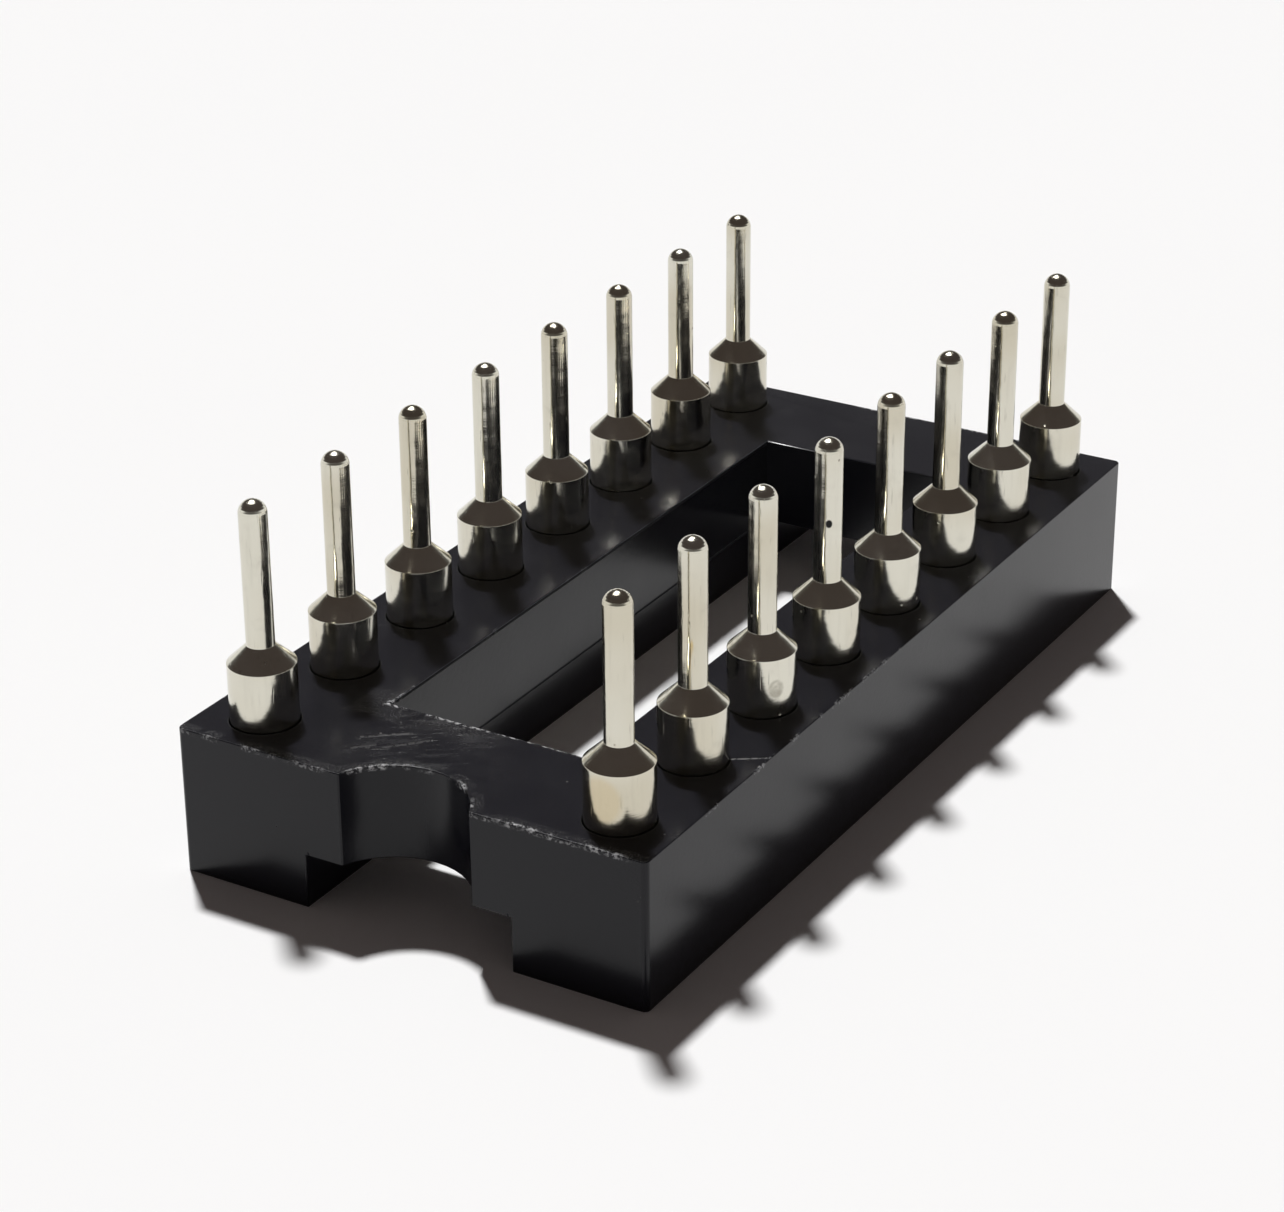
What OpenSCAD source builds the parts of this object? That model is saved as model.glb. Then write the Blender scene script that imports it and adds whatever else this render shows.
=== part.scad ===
// Turned-contact DIP socket, lying on its mating face with the solder tails up.
// Millimetres. The origin is the middle of the mating face, +X runs away from the
// notched end and +Z points along the solder tails.
// Contact 1 is beside the notch in the +Y row. Numbers run to +X along that row and
// come back along the -Y row, as they do on the circuit that plugs in.

/* [Contact field] */
// Distance between neighbouring contacts in a row
pin_pitch = 2.54; // [2.2:0.01:3]
// Distance between the two rows
row_spacing = 7.62; // [7:0.02:15.5]
// Contacts in each row
pins_per_row = 8; // [3:1:14]

/* [Housing] */
// Plastic beyond the last contact's centre at each end
end_margin = 1.11; // [1.05:0.01:1.6]
// Plastic outside each row's centre line
side_margin = 1.19; // [1.05:0.01:1.6]
// Height of the housing
housing_height = 3; // [2.6:0.05:3.6]
// Distance between the inner walls of the two rails
window_width = 4.3; // [4:0.05:4.8]
// Thickness of each end wall
end_wall = 2.75; // [2:0.05:3.5]
// Height of the end walls' underside over the mating face
end_wall_lift = 1.1; // [0.4:0.05:1.6]
// Step back of the rails' inner walls below the end walls' underside
rail_step = 0.07; // [0.03:0.01:0.2]
// Radius of the index notch
notch_radius = 1.5; // [1.2:0.05:1.8]
// How far the notch reaches into the end wall
notch_depth = 0.95; // [0.5:0.05:1.15]
// Radius on the housing's upright corners
corner_radius = 0.12; // [0.05:0.01:0.4]

/* [Contact sleeve] */
// Diameter of the head on the mating side
head_diameter = 1.8; // [1.7:0.02:1.9]
// Thickness of the head
head_height = 0.45; // [0.4:0.05:0.6]
// Depth of the head below the mating face
head_recess = 0.1; // [0.02:0.02:0.3]
// Chamfer on the head's outer edge
head_chamfer = 0.05; // [0.02:0.01:0.08]
// Diameter of the sleeve through the housing and of its shoulder
shoulder_diameter = 1.3; // [1.24:0.02:1.36]
// How far the shoulder stands out of the housing
shoulder_height = 1.2; // [0.6:0.05:2]
// Bevel on the shoulder's rim
rim_bevel = 0.03; // [0.01:0.01:0.06]
// Height of the cone between shoulder and tail
cone_height = 0.33; // [0.15:0.01:0.5]
// Diameter of the solder tail
tail_diameter = 0.54; // [0.4:0.01:0.6]
// Length from the shoulder's rim to the end of the tail
tail_length = 3.2; // [2.4:0.1:4.5]
// Height of the dome on the end of the tail
tip_height = 0.24; // [0.1:0.01:0.3]

/* [Contact bore] */
// Diameter of the mouth where a lead enters
mouth_diameter = 1.2; // [1.1:0.02:1.4]
// Straight length of the mouth before its funnel
mouth_land = 0.12; // [0.05:0.01:0.16]
// Full angle of the mouth's funnel
funnel_angle = 75; // [65:5:110]
// Diameter of the bore that holds the clip
bore_diameter = 0.88; // [0.84:0.01:1]
// Metal between the bore's flat end and the shoulder's rim
bore_end = 0.5; // [0.4:0.05:0.8]
// Full angle of the drill point at the bore's end
drill_angle = 118; // [110:2:140]

/* [Press-fit barbs] */
// Diameter over the barbs
barb_diameter = 1.5; // [1.42:0.01:1.58]
// Barbs on each sleeve
barb_count = 2; // [1:1:3]
// Distance from one barb to the next
barb_pitch = 0.55; // [0.45:0.05:0.6]
// Length of each barb's tapered side
barb_taper = 0.3; // [0.15:0.05:0.35]
// Length of each barb's straight crest
barb_crest = 0.06; // [0.03:0.01:0.08]
// Distance from the head to the first barb
barb_start = 0.3; // [0.2:0.05:0.5]

/* [Contact clip] */
// Thickness of the clip's spring sheet
clip_wall = 0.09; // [0.06:0.01:0.11]
// Distance from the funnel to the clip
clip_inset = 0.06; // [0.02:0.02:0.2]
// Height of the clip's whole collar
collar_height = 0.55; // [0.4:0.05:0.7]
// Length of the spring fingers
finger_length = 1.5; // [1.2:0.05:1.7]
// Number of spring fingers
finger_count = 4; // [3:1:6]
// Diameter of the gap between the finger tips
tip_gap = 0.36; // [0.3:0.01:0.4]
// Width of the slots between the fingers
slot_width = 0.09; // [0.05:0.01:0.12]
// How far the finger ends flare out again
flare = 0.06; // [0.02:0.01:0.1]
// Length of the flared finger ends
flare_length = 0.16; // [0.1:0.02:0.24]

/* [Fits] */
// Gap left round each pressed-in piece
press_gap = 0.01; // [0.01:0.005:0.03]
// Gap round the head in its counterbore
head_gap = 0.05; // [0.02:0.01:0.08]
// Gap round the sleeve where it leaves the housing
guide_gap = 0.02; // [0.01:0.01:0.05]
// Room left above the last barb in its hole
barb_room = 0.1; // [0.05:0.01:0.2]

/* [Hidden] */
$fn = 64;
contact_count = 2 * pins_per_row;
housing_length = (pins_per_row - 1) * pin_pitch + 2 * end_margin;
housing_width = row_spacing + 2 * side_margin;
window_length = housing_length - 2 * end_wall;
rim_z = housing_height + shoulder_height;
tail_top = rim_z + tail_length;
funnel_end = head_recess + mouth_land
    + (mouth_diameter - bore_diameter) / 2 / tan(funnel_angle / 2);
bore_floor = rim_z - bore_end;
clip_start = funnel_end + clip_inset;
head_seat = head_recess + head_height;
barbs_end = head_seat + barb_start + (barb_count - 1) * barb_pitch + barb_crest + barb_taper;
// Extra length of a cutting shape, so that it clears the face it opens
cut = 1;

// Centre of contact n in plan
function contact_at(n) =
    let (row = n <= pins_per_row ? 1 : -1,
         place = row > 0 ? n - 1 : contact_count - n)
    [(place - (pins_per_row - 1) / 2) * pin_pitch, row * row_spacing / 2, 0];

// Rectangle with round corners, centred
module rounded_plan(length, width, radius) {
    square([length - 2 * radius, width], center = true);
    square([length, width - 2 * radius], center = true);
    for (x = [-1, 1], y = [-1, 1])
        translate([x * (length / 2 - radius), y * (width / 2 - radius)]) circle(r = radius);
}

// Open space between the rails, through the whole height
module window() {
    translate([-window_length / 2, -window_width / 2, -cut])
        cube([window_length, window_width, housing_height + 2 * cut]);
}

// Channel under both end walls, a little wider than the window
module channel() {
    width = window_width + 2 * rail_step;
    translate([-housing_length / 2 - cut, -width / 2, -cut])
        cube([housing_length + 2 * cut, width, end_wall_lift + cut]);
}

// Half-moon notch that marks contact 1
module notch() {
    translate([notch_depth - housing_length / 2 - notch_radius, 0, -cut])
        cylinder(r = notch_radius, h = housing_height + 2 * cut);
}

// Stepped hole that a sleeve is pressed into from the mating side: a counterbore for
// the head, a bore that the barbs bite into and a close guide for the shoulder
module contact_hole() {
    translate([0, 0, -cut]) {
        cylinder(d = shoulder_diameter + 2 * guide_gap, h = housing_height + 2 * cut);
        cylinder(d = barb_diameter + 2 * press_gap, h = barbs_end + barb_room + cut);
        cylinder(d = head_diameter + 2 * head_gap, h = head_seat + press_gap + cut);
    }
}

module housing() {
    color("#232326")
    difference() {
        linear_extrude(housing_height)
            rounded_plan(housing_length, housing_width, corner_radius);
        window();
        channel();
        notch();
        for (n = [1:contact_count]) translate(contact_at(n)) contact_hole();
    }
}

// Half section of the turned sleeve below its dome, from the mouth round to the head
function sleeve_section() =
    let (head_r = head_diameter / 2,
         mouth_r = mouth_diameter / 2,
         bore_r = bore_diameter / 2,
         body_r = shoulder_diameter / 2,
         barb_r = barb_diameter / 2,
         tail_r = tail_diameter / 2)
    concat(
        [[mouth_r, head_recess],
         [mouth_r, head_recess + mouth_land],
         [bore_r, funnel_end],
         [bore_r, bore_floor],
         [0, bore_floor + bore_r / tan(drill_angle / 2)],
         [0, tail_top - tip_height],
         [tail_r, tail_top - tip_height],
         [tail_r, rim_z + cone_height],
         [body_r - rim_bevel, rim_z],
         [body_r, rim_z - rim_bevel]],
        [for (k = [barb_count - 1:-1:0])
            let (z = head_seat + barb_start + k * barb_pitch)
            each [[body_r, z + barb_crest + barb_taper],
                  [barb_r, z + barb_crest],
                  [barb_r, z],
                  [body_r, z]]],
        [[body_r, head_seat],
         [head_r, head_seat],
         [head_r, head_recess + head_chamfer],
         [head_r - head_chamfer, head_recess]]
    );

// Domed end of the tail: a ball trimmed to the tail's diameter
module tail_tip() {
    tail_r = tail_diameter / 2;
    ball_r = (pow(tail_r, 2) + pow(tip_height, 2)) / (2 * tip_height);
    translate([0, 0, tail_top - tip_height])
    intersection() {
        cylinder(r = tail_r, h = 2 * tip_height);
        translate([0, 0, tip_height - ball_r]) sphere(r = ball_r);
    }
}

// Turned contact sleeve: head, barbs, shoulder, cone and solder tail over a blind bore
module sleeve(n) {
    color("#cfcdc4")
    translate(contact_at(n)) {
        rotate_extrude() polygon(sleeve_section());
        tail_tip();
    }
}

// Half section of the clip: collar, converging fingers and flared ends
function clip_section() =
    let (outer_r = bore_diameter / 2 - press_gap,
         inner_r = outer_r - clip_wall,
         tip_r = tip_gap / 2,
         finger_end = collar_height + finger_length)
    [[outer_r, 0],
     [outer_r, collar_height],
     [tip_r + clip_wall, finger_end],
     [tip_r + clip_wall + flare, finger_end + flare_length],
     [tip_r + flare, finger_end + flare_length],
     [tip_r, finger_end],
     [inner_r, collar_height],
     [inner_r, clip_wall / 2],
     [inner_r + clip_wall / 2, 0]];

// Spring clip inside the sleeve, slotted into fingers below its collar
module clip(n) {
    reach = finger_length + flare_length + cut;
    color("#c9a55a")
    translate(contact_at(n) + [0, 0, clip_start])
    difference() {
        rotate_extrude() polygon(clip_section());
        for (k = [0:finger_count - 1])
            rotate(k * 360 / finger_count)
                translate([0, -slot_width / 2, collar_height])
                    cube([bore_diameter, slot_width, reach]);
    }
}

housing();
for (n = [1:contact_count]) {
    sleeve(n);
    clip(n);
}
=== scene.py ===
import bmesh
import bpy
import numpy as np
from math import radians
from mathutils import Matrix, Vector


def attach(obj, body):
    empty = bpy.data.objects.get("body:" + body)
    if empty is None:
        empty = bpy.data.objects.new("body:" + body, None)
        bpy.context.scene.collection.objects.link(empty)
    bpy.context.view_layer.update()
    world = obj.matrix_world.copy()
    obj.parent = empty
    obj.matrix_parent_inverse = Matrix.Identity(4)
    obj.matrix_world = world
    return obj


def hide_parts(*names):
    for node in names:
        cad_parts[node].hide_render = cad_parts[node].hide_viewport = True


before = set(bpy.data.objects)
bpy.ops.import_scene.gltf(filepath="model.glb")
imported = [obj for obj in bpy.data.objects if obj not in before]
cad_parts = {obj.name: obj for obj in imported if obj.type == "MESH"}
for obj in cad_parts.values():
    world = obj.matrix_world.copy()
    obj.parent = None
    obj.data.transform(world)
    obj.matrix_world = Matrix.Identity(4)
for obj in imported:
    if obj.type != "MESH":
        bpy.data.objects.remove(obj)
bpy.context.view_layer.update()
mm = 0.001
print("frame loaded with", len(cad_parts), "nodes")


class Signal:  # a value on its way through a material: arithmetic on it adds Math nodes
    def __init__(self, recipe, socket):
        self.recipe, self.socket = recipe, socket

    def maths(self, operation, *values):
        return self.recipe.node("Math", {"operation": operation}, dict(enumerate(values)))

    def __add__(self, other): return self.maths("ADD", self, other)
    def __radd__(self, other): return self.maths("ADD", other, self)
    def __sub__(self, other): return self.maths("SUBTRACT", self, other)
    def __mul__(self, other): return self.maths("MULTIPLY", self, other)
    def __rmul__(self, other): return self.maths("MULTIPLY", other, self)
    def __truediv__(self, other): return self.maths("DIVIDE", self, other)
    def __pow__(self, other): return self.maths("POWER", self, other)
    def size(self): return self.maths("ABSOLUTE", self)
    def least(self, other): return self.maths("MINIMUM", self, other)
    def most(self, other): return self.maths("MAXIMUM", self, other)

    def rise(self, low, high):  # 0 below low, 1 above high, eased between; the other way if low > high
        return self.recipe.node("MapRange", {"interpolation_type": "SMOOTHSTEP"},
                                {"Value": self, "From Min": low, "From Max": high})


class Recipe:  # one material, with its place in millimetres as three signals
    def __init__(self, name, **shaderValues):
        self.material = bpy.data.materials.new(name)
        self.material.use_nodes = True
        self.tree = self.material.node_tree
        self.shader = self.tree.nodes["Principled BSDF"]
        for key, value in shaderValues.items():
            self.shader.inputs[key.replace("_", " ")].default_value = value
        coords = self.node("TexCoord", output="Object")
        self.place = self.node("VectorMath", {"operation": "SCALE"}, {0: coords, "Scale": 1 / mm})
        self.x, self.y, self.z = (
            self.node("SeparateXYZ", values={0: self.place}, output=k) for k in range(3))

    def node(self, kind, settings={}, values={}, output=0):
        made = self.tree.nodes.new("ShaderNode" + kind)
        for key, value in settings.items():
            setattr(made, key, value)
        for key, value in values.items():
            if isinstance(value, Signal):
                self.tree.links.new(value.socket, made.inputs[key])
            else:
                made.inputs[key].default_value = value
        return Signal(self, made.outputs[output])

    def stretched(self, x=1.0, y=1.0, z=1.0, turn=0.0):  # the place, turned about Z and then stretched
        turned = self.node("Mapping", values={"Vector": self.place, "Rotation": (0, 0, radians(turn))})
        return self.node("VectorMath", {"operation": "MULTIPLY"}, {0: turned, 1: (x, y, z)})

    def noise(self, scale, detail=2.0, roughness=0.5, where=None):
        return self.node("TexNoise", values={"Vector": where or self.place, "Scale": scale,
                                             "Detail": detail, "Roughness": roughness})

    def dots(self, scale, edge, full, share):  # a dot in each cell whose random number is above share
        near, tint = (self.node("TexVoronoi", values={"Vector": self.place, "Scale": scale}, output=k)
                      for k in ("Distance", "Color"))
        chosen = self.node("TexWhiteNoise", values={"Vector": tint}, output="Value")
        return near.rise(edge, full) * chosen.rise(share, share + 0.04)

    def mix(self, mask, low, high):  # colours: low where the mask is 0, high where it is 1
        return self.node("Mix", {"data_type": "RGBA"}, {0: mask, 6: low, 7: high}, 2)

    def bump(self, height, strength, distance, under=None):  # height in units of distance, in millimetres
        values = {"Height": height, "Strength": strength, "Distance": distance * mm}
        if under:
            values["Normal"] = under
        return self.node("Bump", values=values)

    def spot(self, x, y, z, radius, soft=0.5, tall=1.0):  # 1 inside an upright egg, eased to 0 round it
        where = self.node("VectorMath", {"operation": "MULTIPLY"}, {0: self.place, 1: (1, 1, 1 / tall)})
        away = self.node("VectorMath", {"operation": "DISTANCE"}, {0: where, 1: (x, y, z / tall)}, "Value")
        return away.rise(radius * (1 + soft), radius)

    def line(self, x0, y0, x1, y1, width):  # 1 on the straight line between two points in plan, eased to 0
        run, climb = x1 - x0, y1 - y0
        along = (((self.x - x0) * run + (self.y - y0) * climb) / (run ** 2 + climb ** 2)).least(1).most(0)
        away = ((self.x - x0 - along * run) ** 2 + (self.y - y0 - along * climb) ** 2) ** 0.5
        return away.rise(width, width * 0.3)

    def finish(self, **links):
        for key, value in links.items():
            self.tree.links.new(value.socket, self.shader.inputs[key.replace("_", " ")])
        return self.material


plastic = {
    "colour": (0.0076, 0.0076, 0.0108, 1),
    "fleckColour": (0.52, 0.52, 0.53, 1),
    "dustColour": (0.30, 0.29, 0.28, 1),
    "roughness": 0.19,
    "index": 1.335,
    "halfLength": 10.0,
    "halfWidth": 5.0,
    "height": 3.0,
    "windowX": 7.25,
    "windowY": 2.15,
    "step": 1.1,
    "notchX": -10.55,
    "notchRadius": 1.5,
    # long scratches on the top face: two ends in plan, width and strength
    "scratches": ((-8.62, 1.84, -8.06, 1.13, 0.05, 0.5), (-8.75, 1.25, -8.1, 0.65, 0.05, 0.4),
                  (-9.05, 1.75, -8.75, 1.45, 0.05, 0.35), (-6.03, -4.37, -5.66, -4.93, 0.03, 0.9)),
    # where the short scratches crowd: place, radius and softness
    "crowd": (-8.3, 0.7, 3.0, 0.9, 1.1),
}


def blackPlastic(p):
    r = Recipe("blackPlastic", Roughness=p["roughness"], IOR=p["index"])
    x, y, z = r.x, r.y, r.z
    clump = r.noise(1.7, 2.0, 0.5)
    grain = r.noise(12.0, 3.0, 0.65)
    fine = r.noise(34.0, 2.0, 0.6)
    # distances in plan to the edges round the top face
    toEnd = (x.size() - p["halfLength"]).size()
    toSide = (y.size() - p["halfWidth"]).size()
    besideWindow = (x.size() - p["windowX"]).size().most((y.size() - p["windowY"]).most(0))
    alongWindow = (y.size() - p["windowY"]).size().most((x.size() - p["windowX"]).most(0))
    reach = ((x - p["notchX"]) ** 2 + y ** 2) ** 0.5
    toNotch = (reach - p["notchRadius"]).size()
    nearTop = z.rise(p["height"] - 0.11, p["height"] - 0.05)
    # pale flecks on the top edges, most of them on the end's -Y half, as far as its corner
    worn = y.rise(1.6, 0.9)
    crestOuter = toEnd.least(toNotch).rise(0.05 + 0.05 * worn, 0.02) * clump.rise(0.43, 0.58)
    crestOuter = crestOuter * (0.4 + 0.6 * worn) * y.rise(-4.8, -4.1)
    crestInner = besideWindow.rise(0.06 + 0.06 * y.rise(-1.0, 0.6), 0.02)
    crestInner = crestInner * clump.rise(0.34, 0.50) * x.rise(2.0, -4.0)
    crestSide = toSide.least(alongWindow).rise(0.05, 0.015) * x.rise(2.0, -6.0)
    fleck = nearTop * (crestOuter.most(crestInner) + 0.5 * crestSide * clump.rise(0.50, 0.62))
    fleck = fleck * grain.rise(0.46, 0.58)
    # chipped grains beside the edges near the notched end
    onTop = z.rise(p["height"] - 0.02, p["height"] - 0.005)
    beside = toEnd.least(toNotch).rise(0.30, 0.04).most(besideWindow.rise(0.8, 0.05) * y.rise(-0.8, 0.8))
    chip = onTop * beside * x.rise(-6.5, -7.3) * fine.rise(0.57, 0.65) * clump.rise(0.36, 0.54)
    # short broken scratches across the end wall, closest together between notch and window,
    # the long ones of the list and a streaky rub under them
    crowd = r.spot(*p["crowd"])
    streakA = r.noise(1.0, 2.0, 0.5, r.stretched(1.9, 19.0, 1.0, 56)).rise(0.66, 0.76)
    streakB = r.noise(1.0, 2.0, 0.5, r.stretched(3.4, 26.0, 1.0, 44)).rise(0.68, 0.78)
    patch = r.noise(0.9, 1.0).rise(0.40, 0.58)
    scratch = patch * (0.15 + 0.85 * crowd) * streakA.most(streakB) * fine.rise(0.38, 0.56)
    for x0, y0, x1, y1, width, strength in p["scratches"]:
        scratch = scratch.most(r.line(x0, y0, x1, y1, width) * strength * grain.rise(0.36, 0.56))
    scratch = onTop * scratch
    rub = onTop * r.noise(1.0, 4.0, 0.6, r.stretched(1.2, 5.0, 1.0, 52)).rise(0.40, 0.72) * crowd
    # pale specks of dust
    speck = r.dots(2.4, 0.085, 0.04, 0.78)
    dust = (speck * (0.1 + 0.5 * nearTop) + 0.4 * scratch + 0.7 * chip).least(1)
    colour = r.mix(fleck.least(1), p["colour"], p["fleckColour"])
    colour = r.mix(dust * 0.6, colour, p["dustColour"])
    colour = r.mix(rub * 0.012, colour, p["dustColour"])
    # dull lines along the rails' inner walls, under the top edge and over the step
    onRail = (y.size() - p["windowY"]).size().rise(0.03, 0.01)
    under = z.rise(p["height"] - 0.10, p["height"] - 0.06) * z.rise(p["height"] - 0.01, p["height"] - 0.03)
    over = z.rise(p["step"] + 0.09, p["step"] + 0.05) * z.rise(p["step"] - 0.01, p["step"] + 0.01)
    seam = onRail * under.most(over)
    cloud = r.noise(0.9, 3.0, 0.55)
    rough = p["roughness"] - 0.04 + 0.09 * cloud + 0.06 * grain + 0.35 * fleck + 0.2 * scratch + 0.1 * rub
    rough = rough + 0.6 * seam
    skin = r.noise(9.0, 4.0, 0.6)
    normal = r.bump(skin, 0.35, 0.006)
    normal = r.bump(scratch + chip + fleck * grain * 2.0, 0.6, 0.01, normal)
    return r.finish(Base_Color=colour, Roughness=rough.least(1), Normal=normal)


tin = {
    "warmColour": (0.60, 0.56, 0.45, 1),
    "paleColour": (0.69, 0.67, 0.58, 1),
    "dullColour": (0.30, 0.28, 0.23, 1),
    "darkColour": (0.02, 0.02, 0.02, 1),
    "brassStainAndReflectionColour": (0.55, 0.40, 0.16, 1),
    "roughness": 0.085,
    # single blemishes and one painted reflection: place, radius and height over width
    "pore": (-1.501, -3.949, 5.762, 0.05, 1.3),
    "rubbed": (-4.201, -4.329, 3.591, 0.12, 1.2),
    "stain": (-9.52, -3.80, 3.65, 0.30, 1.2),
    # painted reflection: a brass-tinted upright streak on contact 15's tail where it mirrors the
    # neighbouring contact
    "paintedReflection": (-6.60, -3.925, 5.2, 0.035, 7.0),
}


def tinPlate(p):
    r = Recipe("tinPlate", Metallic=1.0, Roughness=p["roughness"])
    slow = r.noise(0.33, 2.0, 0.5)
    blotch = r.noise(2.6, 3.0, 0.6)
    wander = r.noise(1.3, 2.0, 0.5)
    rings = r.noise(1.0, 2.0, 0.5, r.stretched(1.2, 1.2, 34.0))
    drawn = r.noise(1.0, 2.0, 0.5, r.stretched(9.0, 9.0, 0.8))
    dash = r.noise(1.0, 2.0, 0.6, r.stretched(15.0, 15.0, 1.6)).rise(0.64, 0.74)
    pit = r.dots(3.2, 0.12, 0.05, 0.84)
    plate = r.mix(slow.rise(0.36, 0.62), p["warmColour"], p["paleColour"])
    pore, rubbed, stain, paintedReflection = (
        r.spot(*p[key][:4], tall=p[key][4]) for key in ("pore", "rubbed", "stain", "paintedReflection"))
    dull = pit * 0.75 + 0.16 * blotch.rise(0.55, 0.8) + 0.10 * drawn.rise(0.5, 0.75) + 0.35 * dash
    dull = dull + 0.7 * rubbed * blotch.rise(0.3, 0.5)
    colour = r.mix(dull.least(1), plate, p["dullColour"])
    # brass tone: a real stain on contact 16's shoulder, and a painted reflection streaked along contact
    # 15's tail
    colour = r.mix(0.3 * stain + 0.7 * paintedReflection * drawn.rise(0.35, 0.5), colour, p["brassStainAndReflectionColour"])
    colour = r.mix(pore, colour, p["darkColour"])
    rough = p["roughness"] + 0.07 * wander + 0.05 * rings + 0.07 * blotch.rise(0.5, 0.8) + 0.25 * pit
    normal = r.bump(wander, 0.5, 0.035)
    normal = r.bump(rings, 0.3, 0.003, normal)
    normal = r.bump(blotch, 0.35, 0.006, normal)
    normal = r.bump(dash * -1.0, 0.4, 0.004, normal)
    normal = r.bump(pit * -1.0, 0.6, 0.01, normal)
    return r.finish(Base_Color=colour, Roughness=rough, Normal=normal)


clipMetal = {"colour": (0.82, 0.62, 0.30, 1), "dullColour": (0.55, 0.40, 0.20, 1), "roughness": 0.22}


def springMetal(p):
    r = Recipe("springMetal", Metallic=1.0, Roughness=p["roughness"])
    rolled = r.noise(1.0, 3.0, 0.6, r.stretched(6.0, 6.0, 1.0))
    colour = r.mix(rolled.rise(0.35, 0.7), p["colour"], p["dullColour"])
    rough = p["roughness"] + 0.12 * rolled
    return r.finish(Base_Color=colour, Roughness=rough, Normal=r.bump(rolled, 0.2, 0.004))


materials = {"housing": blackPlastic(plastic), "sleeve": tinPlate(tin), "clip": springMetal(clipMetal)}
for name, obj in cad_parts.items():
    slotName = name.split("_")[0]
    obj.data.materials.clear()
    obj.data.materials.append(materials[slotName])
print("materials made:", ", ".join(sorted(materials)))


housing = {"mergeWithin": 0.002, "flatWithin": 0.4, "edgeAngle": 30, "edgeRadius": 0.028, "edgeSegments": 3}


def roundedHousing(p):
    # the CAD solid with its doubles merged, its flats joined and every outward edge a little round
    shape = bmesh.new()
    shape.from_mesh(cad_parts["housing"].data)
    bmesh.ops.remove_doubles(shape, verts=shape.verts, dist=p["mergeWithin"] * mm)
    bmesh.ops.dissolve_limit(
        shape, angle_limit=radians(p["flatWithin"]), verts=shape.verts, edges=shape.edges)
    weight = shape.edges.layers.float.new("bevel_weight_edge")
    for edge in shape.edges:
        sharp = edge.is_convex and edge.calc_face_angle(0.0) > radians(p["edgeAngle"])
        edge[weight] = 1.0 if sharp else 0.0
    mesh = bpy.data.meshes.new("moulding")
    shape.to_mesh(mesh)
    shape.free()
    if "custom_normal" in mesh.attributes:
        mesh.attributes.remove(mesh.attributes["custom_normal"])
    mesh.polygons.foreach_set("use_smooth", np.ones(len(mesh.polygons), bool))
    mesh.set_sharp_from_angle(angle=radians(p["edgeAngle"]))
    mesh.materials.clear()
    mesh.materials.append(materials["housing"])
    obj = bpy.data.objects.new("moulding", mesh)
    bpy.context.scene.collection.objects.link(obj)
    bevel = obj.modifiers.new("edges", "BEVEL")
    bevel.width = p["edgeRadius"] * mm
    bevel.segments = p["edgeSegments"]
    bevel.limit_method = "WEIGHT"
    bevel.use_clamp_overlap = False
    bevel.harden_normals = True
    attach(obj, "root")
    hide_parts("housing")
    return obj


moulding = roundedHousing(housing)
print("housing made:", len(moulding.data.vertices), "points before its edges")


sleeve = {
    "segments": 96,
    "tailTop": 7.4, "tipHeight": 0.24, "tailRadius": 0.27,
    "rim": 4.2, "cone": 0.33, "bodyRadius": 0.65, "rimBevel": 0.03,
    "barbRadius": 0.75, "barbCrests": (0.85, 1.4), "barbCrest": 0.06, "barbTaper": 0.3,
    "headRadius": 0.9, "headTop": 0.55, "headFace": 0.1, "headChamfer": 0.05,
    "mouthRadius": 0.6, "mouthEnd": 0.22, "boreRadius": 0.44, "funnelEnd": 0.4285,
    "boreFloor": 3.7, "boreTip": 3.9644,
    "domePoints": 9,
    # radii of the corners; those of a barb run from its taper's root to its shelf
    "rootFillet": 0.012, "rimFillet": 0.02, "headFillet": 0.015, "funnelFillet": 0.03,
    "barbFillets": (0.02, 0.01, 0.006, 0.01),
}


def filletedProfile(points, radii, steps=4):
    # Each corner becomes an arc tangent to both sides: its two ends lie radius * tan(half the turn)
    # away along the sides. Returns the points and the outward normals, both (n, 2).
    line, normals = [points[0]], [None]
    for k in range(1, len(points) - 1):
        a, b, c = (np.array(points[j], float) for j in (k - 1, k, k + 1))
        u, v = (b - a) / np.linalg.norm(b - a), (c - b) / np.linalg.norm(c - b)
        turn = np.arctan2(u[0] * v[1] - u[1] * v[0], u @ v)
        cut = radii[k] * np.tan(abs(turn) / 2)
        side = np.sign(turn) * np.array([-u[1], u[0]])
        middle = b - u * cut + side * radii[k]
        angles = np.linspace(0, turn, steps + 1)
        spoke = -side * radii[k]
        arc = np.stack([middle[0] + spoke[0] * np.cos(angles) - spoke[1] * np.sin(angles),
                        middle[1] + spoke[0] * np.sin(angles) + spoke[1] * np.cos(angles)], 1)
        way = np.stack([u[0] * np.cos(angles) - u[1] * np.sin(angles),
                        u[0] * np.sin(angles) + u[1] * np.cos(angles)], 1)
        line += list(arc)
        normals += list(np.stack([-way[:, 1], way[:, 0]], 1))
    line.append(points[-1])
    normals[0] = np.array([0.0, 1.0])
    normals.append(np.array([0.0, -1.0]))
    return np.array(line, float), np.array(normals, float)


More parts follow.
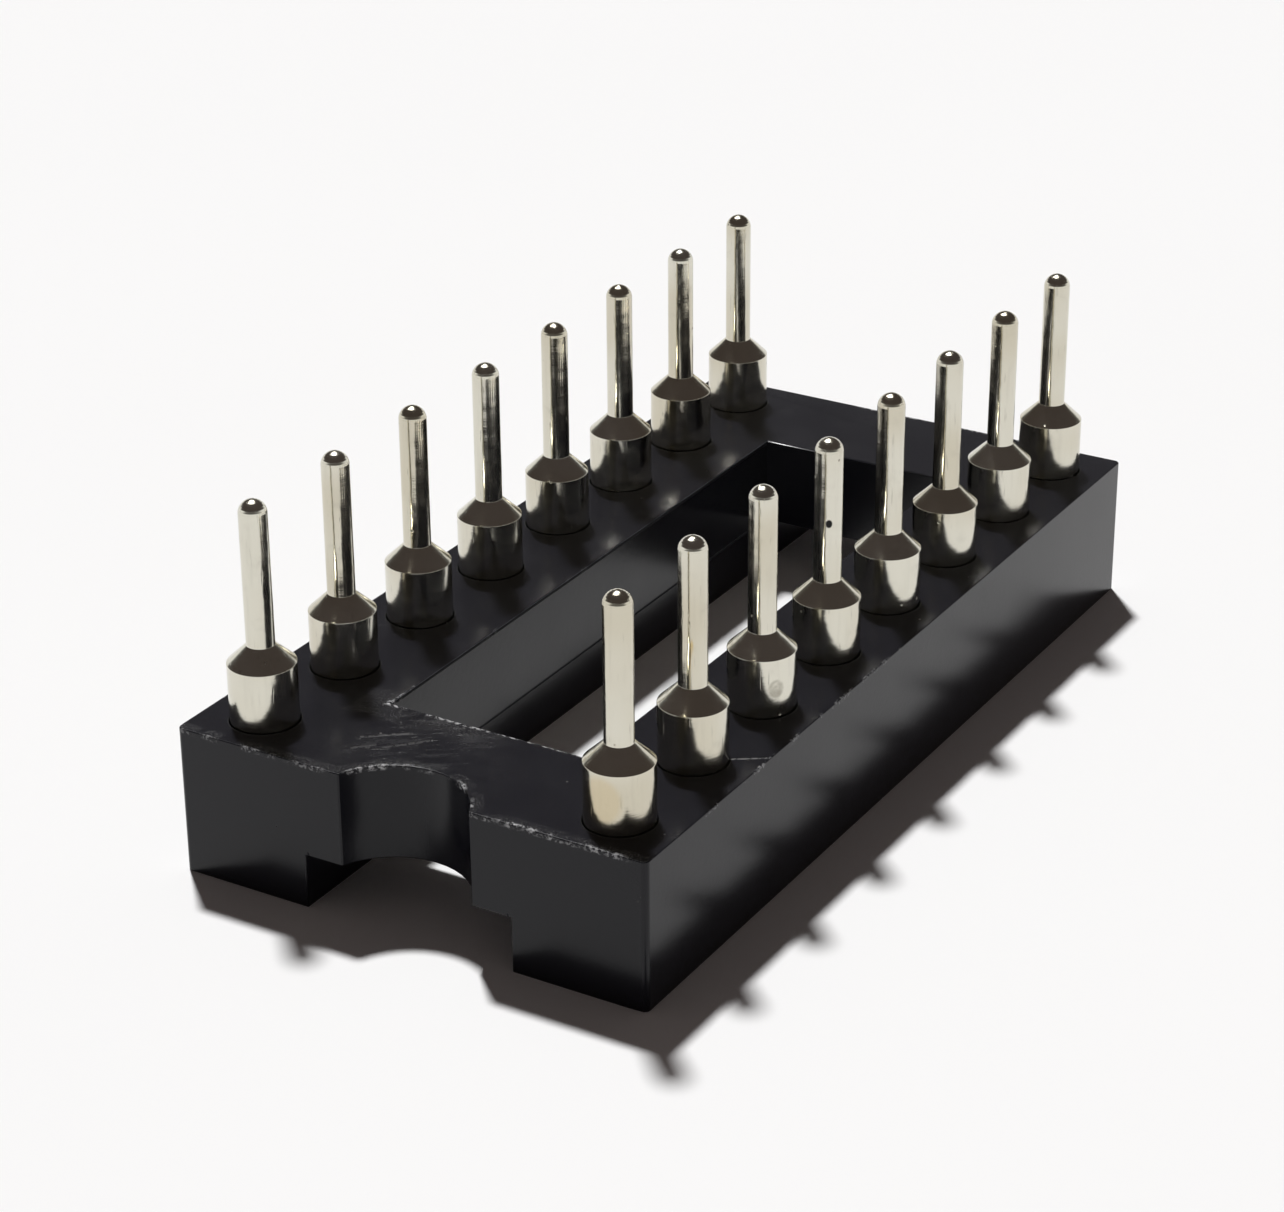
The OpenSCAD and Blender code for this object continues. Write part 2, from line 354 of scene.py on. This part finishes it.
def turnedMesh(name, profile, normals, centre, segments):
    # point(k, a) = centre + (r_k cos a, r_k sin a, z_k): a half section carried round its axis,
    # with one point at each pole
    angles = np.linspace(0, 2 * np.pi, segments, endpoint=False)
    rings = profile[1:-1]
    ringNormals = normals[1:-1]
    cos, sin = np.cos(angles)[None, :], np.sin(angles)[None, :]
    grid = np.stack([centre[0] + rings[:, :1] * cos, centre[1] + rings[:, :1] * sin,
                     np.broadcast_to(rings[:, 1:], (len(rings), segments))], 2).reshape(-1, 3)
    turned = np.stack([ringNormals[:, :1] * cos, ringNormals[:, :1] * sin,
                       np.broadcast_to(ringNormals[:, 1:], (len(rings), segments))], 2).reshape(-1, 3)
    poles = np.array([[centre[0], centre[1], profile[0, 1]], [centre[0], centre[1], profile[-1, 1]]])
    points = np.concatenate([grid, poles]) * mm
    pointNormals = np.concatenate([turned, [[0, 0, 1], [0, 0, -1]]])
    k, j = np.meshgrid(np.arange(len(rings) - 1), np.arange(segments), indexing="ij")
    after = (j + 1) % segments
    quads = np.stack([k * segments + j, (k + 1) * segments + j,
                      (k + 1) * segments + after, k * segments + after], 2).reshape(-1, 4)
    j = np.arange(segments)
    after = (j + 1) % segments
    last = (len(rings) - 1) * segments
    top, bottom = len(grid), len(grid) + 1
    capTop = np.stack([np.full(segments, top), j, after], 1)
    capBottom = np.stack([np.full(segments, bottom), last + after, last + j], 1)
    mesh = bpy.data.meshes.new(name)
    mesh.from_pydata(points.tolist(), [], quads.tolist() + capTop.tolist() + capBottom.tolist())
    mesh.polygons.foreach_set("use_smooth", np.ones(len(mesh.polygons), bool))
    mesh.normals_split_custom_set_from_vertices(pointNormals.tolist())
    mesh.materials.append(materials["sleeve"])
    return mesh


def sleeveSection(p):
    # The half section from the tip round to the bore's point: radius, height and corner radius.
    # A ball of radius (r^2 + h^2) / 2h passes through the rim of a dome of radius r and height h.
    ball = (p["tailRadius"] ** 2 + p["tipHeight"] ** 2) / (2 * p["tipHeight"])
    span = np.arcsin(p["tailRadius"] / ball)
    section = [(ball * np.sin(a), p["tailTop"] - ball + ball * np.cos(a), p["rimFillet"])
               for a in np.linspace(0, span, p["domePoints"])]
    section += [
        (p["tailRadius"], p["rim"] + p["cone"], p["rootFillet"]),
        (p["bodyRadius"] - p["rimBevel"], p["rim"], p["rimFillet"]),
        (p["bodyRadius"], p["rim"] - p["rimBevel"], p["rimFillet"])]
    rootRadius, upperRadius, lowerRadius, shelfRadius = p["barbFillets"]
    for z in p["barbCrests"][::-1]:
        section += [
            (p["bodyRadius"], z + p["barbCrest"] + p["barbTaper"], rootRadius),
            (p["barbRadius"], z + p["barbCrest"], upperRadius),
            (p["barbRadius"], z, lowerRadius),
            (p["bodyRadius"], z, shelfRadius)]
    section += [
        (p["bodyRadius"], p["headTop"], p["rimFillet"]),
        (p["headRadius"], p["headTop"], p["headFillet"]),
        (p["headRadius"], p["headFace"] + p["headChamfer"], p["headFillet"]),
        (p["headRadius"] - p["headChamfer"], p["headFace"], p["headFillet"]),
        (p["mouthRadius"], p["headFace"], p["headFillet"]),
        (p["mouthRadius"], p["mouthEnd"], p["rimFillet"]),
        (p["boreRadius"], p["funnelEnd"], p["funnelFillet"]),
        (p["boreRadius"], p["boreFloor"], p["rimFillet"]),
        (0.0, p["boreTip"], 0)]
    return [s[:2] for s in section], [s[2] for s in section]


field = {"perRow": 8, "pitch": 2.54, "rowSpacing": 7.62}
contactCount = 2 * field["perRow"]


def contactPlace(p, n):
    # numbers run along the +Y row away from the notch and come back along the -Y row
    row = 1 if n <= p["perRow"] else -1
    place = n - 1 if row > 0 else 2 * p["perRow"] - n
    return (place - (p["perRow"] - 1) / 2) * p["pitch"], row * p["rowSpacing"] / 2


profile, profileNormals = filletedProfile(*sleeveSection(sleeve))
for n in range(1, contactCount + 1):
    mesh = turnedMesh(f"contact_{n}", profile, profileNormals, contactPlace(field, n), sleeve["segments"])
    contact = bpy.data.objects.new(f"contact_{n}", mesh)
    bpy.context.scene.collection.objects.link(contact)
    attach(contact, "root")
    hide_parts(f"sleeve_{n}")
print("contacts made:", contactCount, "with", len(profile), "points in their section")


stage = {
    "floorSize": 4000,
    "floorColour": (0.93, 0.93, 0.93, 1),
    "keyToward": (0.36, 0.355, 1.0),
    "keyStrength": 3.38,
    "keyAngle": 4.5,
    "glowColour": (5.0, 5.0, 4.9, 1),
    "glowReach": 19.0,
    "roomColour": (0.067, 0.056, 0.053, 1),
    "horizonColour": (0.95, 0.95, 0.95, 1),
    "horizonTop": 0.21,
    "wallColour": (0.15, 0.15, 0.145, 1),
    "wallTop": 0.50,
}


def paleFloor(p):
    r = Recipe("paleFloor", Roughness=0.9)
    r.shader.inputs["Specular IOR Level"].default_value = 0.1
    tone = r.noise(0.06, 1.0, 0.4).rise(0.3, 0.7)
    shade = tuple(0.996 * c for c in p["floorColour"][:3]) + (1,)
    return r.finish(Base_Color=r.mix(tone, p["floorColour"], shade))


half = stage["floorSize"] / 2 * mm
floorMesh = bpy.data.meshes.new("floor")
corners = [(-half, -half, 0), (half, -half, 0), (half, half, 0), (-half, half, 0)]
floorMesh.from_pydata(corners, [], [(0, 1, 2, 3)])
floorMesh.materials.append(paleFloor(stage))
floor = bpy.data.objects.new("floor", floorMesh)
bpy.context.scene.collection.objects.link(floor)

key = bpy.data.lights.new("keyLight", "SUN")
key.energy = stage["keyStrength"]
key.angle = radians(stage["keyAngle"])
keyLight = bpy.data.objects.new("keyLight", key)
keyLight.rotation_euler = Vector(stage["keyToward"]).to_track_quat("Z", "Y").to_euler()
bpy.context.scene.collection.objects.link(keyLight)

world = bpy.data.worlds.new("studio")
world.use_nodes = True
bpy.context.scene.world = world


class RoomRecipe(Recipe):  # the same node method, on the world's tree
    def __init__(self, world):
        self.tree = world.node_tree
        self.shader = self.tree.nodes["Background"]


def softRoom(p):
    r = RoomRecipe(world)
    away = r.node("TexCoord", output="Generated")
    height = r.node("SeparateXYZ", values={0: away}, output=2)
    keyWay = Vector(p["keyToward"]).normalized()
    towardKey = r.node("VectorMath", {"operation": "DOT_PRODUCT"}, {0: away, 1: tuple(keyWay)}, "Value")
    seen = r.node("LightPath", output="Is Camera Ray") + r.node("LightPath", output="Is Glossy Ray")
    seen = (seen + r.node("LightPath", output="Is Transmission Ray")).least(1)
    band = height.rise(p["horizonTop"] + 0.04, p["horizonTop"]) * seen
    # the glow round the key fades from half its reach to the whole
    outer, inner = (float(np.cos(radians(share * p["glowReach"]))) for share in (1.0, 0.5))
    glow = towardKey.rise(outer, inner)
    walls = height.rise(p["wallTop"], p["horizonTop"]) ** 1.6 * seen
    colour = r.mix(band, r.mix(walls, p["roomColour"], p["wallColour"]), p["horizonColour"])
    colour = r.mix(glow * seen, colour, p["glowColour"])
    r.tree.links.new(colour.socket, r.shader.inputs["Color"])


softRoom(stage)

camera = {
    # its place and its three ways in the frame
    "place": (-53.0183639, -30.69105178, 31.78857279),
    "right": (0.51060869, -0.85978566, -0.00688365),
    "down": (-0.37395088, -0.21485822, -0.90221765),
    "forward": (0.77423479, 0.46325432, -0.43122608),
    "lens": 95.3316, "sensor": 36,
    "nearest": 1, "farthest": 10000,
}
view = bpy.data.cameras.new("camera")
view.sensor_width = camera["sensor"]
view.lens = camera["lens"]
view.clip_start, view.clip_end = camera["nearest"] * mm, camera["farthest"] * mm
viewer = bpy.data.objects.new("camera", view)
turn = Matrix([camera["right"], [-v for v in camera["down"]], [-v for v in camera["forward"]]]).transposed()
viewer.matrix_world = Matrix.Translation(Vector(camera["place"]) * mm) @ turn.to_4x4()
bpy.context.scene.collection.objects.link(viewer)
bpy.context.scene.camera = viewer

bpy.context.scene.view_settings.view_transform = "Standard"
print("stage, lights and camera made")
